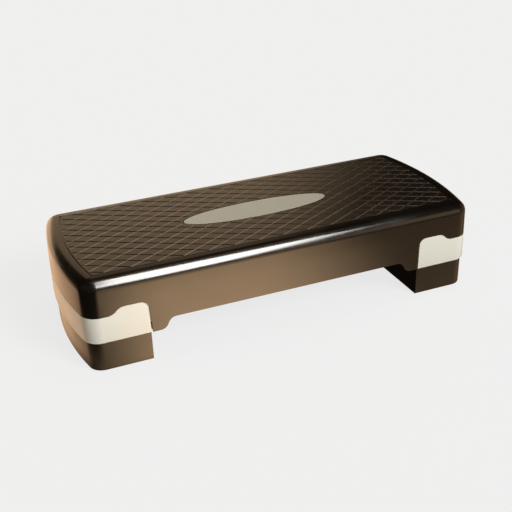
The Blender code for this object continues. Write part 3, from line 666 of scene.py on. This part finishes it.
# ---------------------------------------------------------------------------
# Folding feet: black boxes under the collars, open at the top and ribbed inside,
# each with two hinge arms. They swing half a turn into the hollow under the deck.
# ---------------------------------------------------------------------------
FOOT_TOP, FOOT_TOP_EDGE = 0.054, 0.0003
FOOT_INSET, FOOT_WALL = 0.0033, 0.0026
FOOT_UNDERSIDE, FOOT_FLOOR, FOOT_TOE = 0.001, 0.004, 0.0015
FOOT_RIB_LOW, FOOT_RIB_TOP = 0.0025, FOOT_TOP - 0.0002
FOOT_RIB_X, FOOT_RIB_Y = 0.2693, 0.039
TONGUE_RISE, TONGUE_HALF_WIDTH = 0.008, 0.012
ARM_IN, ARM_OUT, ARM_RADIUS, ARM_STEPS = 0.1230, 0.1330, 0.0068, 16
ARM_RUN, ARM_TOP = 0.010, FOOT_TOP - 0.0001
PADS = ((0.2473, 0.112), (0.314, 0.092))
PAD_SEAT_RADIUS, PAD_SEAT_TOP = 0.0113, 0.0023


def foot_wall(inset, z):
    """Point of the foot's wall, which is narrowest at the floor."""
    return inset + (FOOT_TOP - z) * DRAFT, z


def past_hinge(near):
    """Block that holds all of the step beyond an upright plane."""
    return block((near, -WIDTH, -OVERCUT), (LENGTH, WIDTH, HEIGHT))


toe_z = FOOT_UNDERSIDE + FOOT_TOE
toe_y = foot_wall(FOOT_INSET, toe_z)[0] + FOOT_TOE
foot = swept_round(arc((toe_y, toe_z), FOOT_TOE, 270, 180, 4)
                   + [foot_wall(FOOT_INSET, FOOT_TOP - FOOT_TOP_EDGE),
                      (FOOT_INSET + FOOT_TOP_EDGE, FOOT_TOP)])
work(foot, past_hinge(COLLAR_X), "INTERSECT")
inner_face = FOOT_INSET + FOOT_WALL
hollow = swept_round([foot_wall(inner_face, FOOT_FLOOR), foot_wall(inner_face, FOOT_TOP + OVERCUT)])
work(foot, work(hollow, past_hinge(COLLAR_X + FOOT_WALL), "INTERSECT"))

# ribs, and the tongue that snaps inside the collar's band
stiff = block((FOOT_RIB_X - half_rib, -WIDTH, FOOT_RIB_LOW),
              (FOOT_RIB_X + half_rib, WIDTH, FOOT_RIB_TOP))
buried = COLLAR_X + FOOT_WALL / 2
for side in (1, -1):
    y = side * FOOT_RIB_Y
    work(stiff, block((buried, y - half_rib, FOOT_RIB_LOW),
                      (LENGTH, y + half_rib, FOOT_RIB_TOP)), "UNION")
inside = FOOT_INSET + FOOT_WALL / 2
work(stiff, swept_round([foot_wall(inside, -OVERCUT), foot_wall(inside, FOOT_TOP + OVERCUT)]),
     "INTERSECT")
work(foot, stiff, "UNION")
tongue = swept_round([foot_wall(FOOT_INSET, FOOT_TOP - TONGUE_RISE),
                      foot_wall(FOOT_INSET, FOOT_TOP + TONGUE_RISE)])
work(tongue, swept_round([foot_wall(inner_face, 0), foot_wall(inner_face, FOOT_TOP + 2 * OVERCUT)]))
work(tongue, block((LENGTH / 4, -TONGUE_HALF_WIDTH, 0), (LENGTH, TONGUE_HALF_WIDTH, HEIGHT)),
     "INTERSECT")
work(foot, tongue, "UNION")

# hinge arms with their bores, and seats for the pads
for side in (1, -1):
    arm = [(PIVOT_X + x, PIVOT_Z + z) for x, z in arc((0, 0), ARM_RADIUS, 270, 45, ARM_STEPS)]
    arm += [(buried + ARM_RUN, ARM_TOP), (buried + ARM_RUN, BASE - ARM_RUN),
            (buried, BASE - 2 * ARM_RUN), (buried, BASE + SEAT_GAP)]
    work(foot, pulled(arm, min(side * ARM_IN, side * ARM_OUT), ARM_OUT - ARM_IN), "UNION")
    bore = [(side * (ARM_IN - OVERCUT), BORE_RADIUS), (side * WIDTH / 2, BORE_RADIUS)]
    work(foot, turned(bore, "Y", (PIVOT_X, 0, PIVOT_Z)))
    for x, y in PADS:
        seat = [(-OVERCUT, PAD_SEAT_RADIUS), (PAD_SEAT_TOP, PAD_SEAT_RADIUS)]
        work(foot, turned(seat, "Z", (x, side * y, 0)))
foot_black = moulded_black("foot_black", 0.22, (0.0052, 0.0040, 0.0028), 0.00045, 0.000007)
left_foot = flipped(foot)
fitted(foot, "right_folding_foot", "right_foot", foot_black)
fitted(left_foot, "left_folding_foot", "left_foot", foot_black)


# ---------------------------------------------------------------------------
# Foot pads: black rubber discs pressed into seats under each foot, so that the
# step grips the floor and doesn't knock.
# ---------------------------------------------------------------------------
PAD_RADIUS, PAD_TOP, PAD_SIDES = 0.011, 0.002, 48
rubber = bpy.data.materials.new("pad_rubber")
sole = Finish(rubber, {"Specular IOR Level": 0.3})
dust = sole.between(sole.noise(350.0, 3.0), 0.35, 0.7)
sole.show("Base Color", sole.mixed(dust, (0.018, 0.018, 0.018), (0.034, 0.033, 0.031)))
sole.show("Roughness", 0.75 + dust * 0.15)
sole.grain(sole.noise(1500.0, 2.0), 0.00004)
pad = turned([(0.0003, 0.0070), (0.0003, 0.0075), (0, 0.0080), (0, 0.0105), (0.00015, 0.0108),
              (0.0005, PAD_RADIUS), (PAD_TOP, PAD_RADIUS)], "Z", (0, 0, 0), PAD_SIDES)
set_out(pad, PADS, "foot_pad", "{}_foot", rubber)


# ---------------------------------------------------------------------------
# Hinge pins: drawn steel pins with a domed head, pushed from inside through the
# ear and the foot's arm into the blind boss of the lug.
# ---------------------------------------------------------------------------
PIN_RADIUS, PIN_END, PIN_POINT = 0.003, 0.1371, (0.1375, 0.0026)
steel = bpy.data.materials.new("pin_steel")
drawn = Finish(steel, {"Metallic": 1.0})
stretch = drawn.node("Mapping", {}, {"Vector": drawn.place(), "Scale": (1.0, 0.05, 1.0)})
streak = drawn.noise(2500.0, 2.0, stretch)
drawn.show("Base Color", drawn.mixed(streak, (0.50, 0.50, 0.51), (0.60, 0.60, 0.61)))
drawn.show("Roughness", drawn.between(streak, 0.3, 0.7, 0.22, 0.38))
head = EAR_IN - SEAT_GAP
profile = [(head - 0.003, 0.0022), (head - 0.0028, 0.0034), (head - 0.0022, 0.0043),
           (head - 0.0012, 0.0048), (head - 0.0003, 0.0048), (head, 0.0045),
           (head, PIN_RADIUS), (PIN_END, PIN_RADIUS), PIN_POINT]
for end_word, end in ENDS:
    for side_word, side in (("front", -1), ("rear", 1)):
        pin = turned([(side * y, radius) for y, radius in profile], "Y",
                     (end * PIVOT_X, 0, PIVOT_Z))
        fitted(pin, f"{end_word}_{side_word}_hinge_pin", "platform", steel)


# ---------------------------------------------------------------------------
# Room: a pale seamless floor, soft light from the front right and a warmer, weaker
# one from the left. The dark plastic mirrors glow painted on the floor (warm patches,
# and painted shadow under the step), lit walls, a softbox for the shell and a far
# panel for the mat, and the camera sees none of them.
# ---------------------------------------------------------------------------
PALE, PAPER = (0.863, 0.863, 0.863), (0.35, 0.35, 0.35)
FLOOR_SIZE, FLOOR_GLOW, GLOW_SHARE = 60, 1.286, 0.70
# strengths of the glow painted on the floor for reflections, and its dark level
FRONT_PAINTED_GLOW, PLAIN_FLOOR, DARK_FLOOR = 8.6, 0.30, 0.03


def seen_in(finish):
    """1 for what the camera sees, straight or through something clear."""
    return (finish.node("LightPath", output="Is Camera Ray")
            + finish.node("LightPath", output="Is Transmission Ray"))


floor = close(begin(bpy.ops.mesh.primitive_plane_add, size=FLOOR_SIZE))
floor.name = "floor"
paper = bpy.data.materials.new("paper")
floor.data.materials.append(paper)
ground = Finish(paper, {"Base Color": PAPER, "Roughness": 1.0, "Specular IOR Level": 0.0})

# painted reflections on the floor, for glossy rays only: a hot glow before the front
# skirt, a warm one beside the left end, and painted shadow under the step
x, y = ground.axes(ground.place())[:2]
before = ground.between(y, -0.145, -0.125, 1.0, 0.0)
slant = x + (y + 0.14) * 0.3
hot = (ground.between(x, -0.36, -0.14) * ground.between(slant, -0.08, 0.26, 0.93, 0.08) * before
       * ground.between(y, -0.28, -0.14, 1.0, 1.15) * ground.between(y, -0.75, -0.25, 0.4, 1.0)
       * FRONT_PAINTED_GLOW)
beside = ground.between(x, -0.345, -0.325, 1.0, 0.0)
backward = y + (x + 0.34) * 0.9
outward = (x + 0.34) * -1.0 - y * 0.52
warm = (beside * (ground.between(backward, -0.19, 0.02, 0.22, 1.35)
                  + ground.between(y, 0.24, 0.36, 0.0, 0.6))
        * ground.between(outward, 0.10, 0.26, 1.0, 0.1))
# painted shadow: under the step the floor's glow drops to the dark level
under = (ground.between(x, -0.26, -0.22) * ground.between(x, 0.22, 0.26, 1.0, 0.0)
         * ground.between(y, -0.15, -0.13) * ground.between(y, 0.13, 0.18, 1.0, 0.0))
plain = (1 - under) * (1 - beside) * (1 - before) * PLAIN_FLOOR + DARK_FLOOR
strength = hot + warm + plain
shine = ground.mixed(hot / strength, (1.0, 0.62, 0.36), (1.0, 0.66, 0.38))
# painted reflection: the floor's warm glow and dark patch, shown only to glossy rays
painted_glow = ground.node("Emission", {}, {"Color": shine, "Strength": strength})
glow = ground.node("Emission", {}, {"Color": PALE, "Strength": FLOOR_GLOW})
matt = Link(ground, ground.shader.outputs[0])
lit = ground.node("MixShader", {}, {0: seen_in(ground) * GLOW_SHARE, 1: matt, 2: glow})
mirrored = ground.node("LightPath", output="Is Glossy Ray")
ground.give(ground.node("MixShader", {}, {0: mirrored, 1: lit, 2: painted_glow}))

world = bpy.data.worlds.new("room")
bpy.context.scene.world = world
room = Finish(world)
east, north, up = room.axes(room.node("TexCoord", output="Generated"))
bearing = room.node("Math", {"operation": "ARCTAN2"}, {0: east, 1: north})
height = room.node("Math", {"operation": "ARCSINE"}, {0: up})


def facing(value, low, high, start=0.0, end=1.0):
    """Smooth step over a range of degrees."""
    return room.between(value, math.radians(low), math.radians(high), start, end)


# lit patches of the walls and the ceiling: bearings run from the rear to the right
WALL_COLOUR = (1.0, 0.70, 0.43)
REAR, REAR_LOW, REAR_HIGH = 0.82, 1.6, 0.3
RIGHT, FRONT_RIGHT, CEILING, LEFT, DARK_WALL = 0.35, 1.2, 0.8, 0.10, 0.012
rear = (facing(bearing - height, -36, -28) * facing(bearing, 20, 31, 1, 0)
        * facing(height, 34, 44, 1, 0)
        * (REAR + facing(bearing, -8, 2, 1, 0) * facing(height, 2, 22, 1, 0) * REAR_LOW
           + facing(height, 20, 26, REAR_HIGH, 0)))
right = (facing(bearing, 62, 80) * facing(bearing, 135, 155, 1, 0)
         * facing(height, 12, 40, 1, 0) * RIGHT)
front_right = (facing(bearing, 122, 138) * facing(bearing, 172, 179, 1, 0)
               * facing(height, 28, 36, 1, 0) * FRONT_RIGHT)
overhead = facing(height, 76, 84) + facing(bearing, -10, 30) * facing(bearing, 150, 178, 1, 0)
ceiling = facing(height, 60, 70) * room.between(overhead, 0.0, 1.0) * CEILING
left = facing(bearing, -75, -60, 1, 0) * facing(height, 45, 60, 1, 0) * LEFT
patches = rear + right + front_right + ceiling + left + DARK_WALL
walls = room.node("VectorMath", {"operation": "SCALE"}, {0: WALL_COLOUR, "Scale": patches})
ambient = room.mixed(room.between(east, -0.75, 0.1, 1.0, 0.0), (0.50, 0.50, 0.48),
                     (0.36, 0.255, 0.165))
mirrored = room.node("LightPath", output="Is Glossy Ray")
back = room.tree.nodes["Background"]
room.feed(back.inputs["Color"],
          room.mixed(seen_in(room), room.mixed(mirrored, ambient, walls), PALE))
room.feed(back.inputs["Strength"], 1.0)


def panel(name, corners, colour, axis, fade, lit_piece):
    """Glowing panel that shows only as a reflection, and on one piece alone.

    Its strength fades along an axis: from, to, strength at the first, at the second.
    """
    sheet = filled(corners)
    bpy.ops.object.mode_set(mode="OBJECT")
    sheet.name = name
    for ray in ("camera", "diffuse", "transmission", "volume_scatter", "shadow"):
        setattr(sheet, "visible_" + ray, False)
    receivers = bpy.data.collections.new(name + "_lights")
    receivers.objects.link(lit_piece)
    sheet.light_linking.receiver_collection = receivers
    silk = bpy.data.materials.new(name + "_silk")
    sheet.data.materials.append(silk)
    lamp = Finish(silk)
    lamp.tree.nodes.remove(lamp.shader)
    strength = lamp.between(lamp.axes(lamp.place())[axis], *fade)
    lamp.give(lamp.node("Emission", {}, {"Color": colour, "Strength": strength}))


# softbox over the front edge, bright at the left and fading to the right
SOFTBOX_HEIGHT = 0.8
softbox = [(x, y, SOFTBOX_HEIGHT) for x, y in
           ((-0.21, -1.1), (0.05, -1.8), (0.85, -1.8), (0.85, -0.62), (-0.21, -0.13))]
panel("softbox", softbox, (1.0, 0.98, 0.94), 0, (0.28, 0.58, 34.0, 0.0), shell)

# far panel high at the rear right, which draws the grooves of the tread as fine light lines
FAR_AWAY, FAR_HALF, FAR_BEARING, FAR_RISE = 10.0, 1.9, -53, 52
far_turn = (Matrix.Rotation(math.radians(FAR_BEARING), 3, "Z")
            @ Matrix.Rotation(math.radians(FAR_RISE), 3, "X"))
far_corners = [tuple(far_turn @ Vector((across * FAR_HALF, FAR_AWAY, along * FAR_HALF)))
               for across, along in ((-1, -1), (1, -1), (1, 1), (-1, 1))]
panel("groove_light", far_corners, (1.0, 0.76, 0.54), 2, (6.6, 8.4, 3.3, 6.4), mat)

# key light, large and soft, from the front right
bpy.ops.object.select_all(action="DESELECT")
bpy.ops.object.light_add(type="SUN", location=(0.1, -2, 1.5))
key = bpy.context.active_object
key.name = "key"
key.rotation_euler = Vector((-0.42, 0.74, -0.52)).to_track_quat("-Z", "Y").to_euler()
key.data.angle = math.radians(25)
key.data.energy = 0.83 * math.pi
key.visible_glossy = False
key.visible_camera = False

# camera fitted to the outline of the step in the photograph
AZIMUTH, ELEVATION, ROLL = math.radians(-21.54), math.radians(27.01), math.radians(-2.08)
DISTANCE, FOCUS = 1.4465, Vector((-0.0126, -0.0240, 0.075))
LENS, SENSOR = 61.23, 36
away = Vector((math.sin(AZIMUTH) * math.cos(ELEVATION), -math.cos(AZIMUTH) * math.cos(ELEVATION),
               math.sin(ELEVATION)))
bpy.ops.object.camera_add(location=FOCUS + away * DISTANCE)
camera = bpy.context.active_object
turn = (-away).to_track_quat("-Z", "Y").to_matrix().to_4x4() @ Matrix.Rotation(ROLL, 4, "Z")
camera.matrix_world = Matrix.Translation(FOCUS + away * DISTANCE) @ turn
camera.data.lens, camera.data.sensor_width = LENS, SENSOR
camera.data.clip_start, camera.data.clip_end = 0.05, 100
bpy.context.scene.camera = camera
bpy.context.scene.view_settings.view_transform = "Standard"

bpy.ops.object.select_all(action="DESELECT")
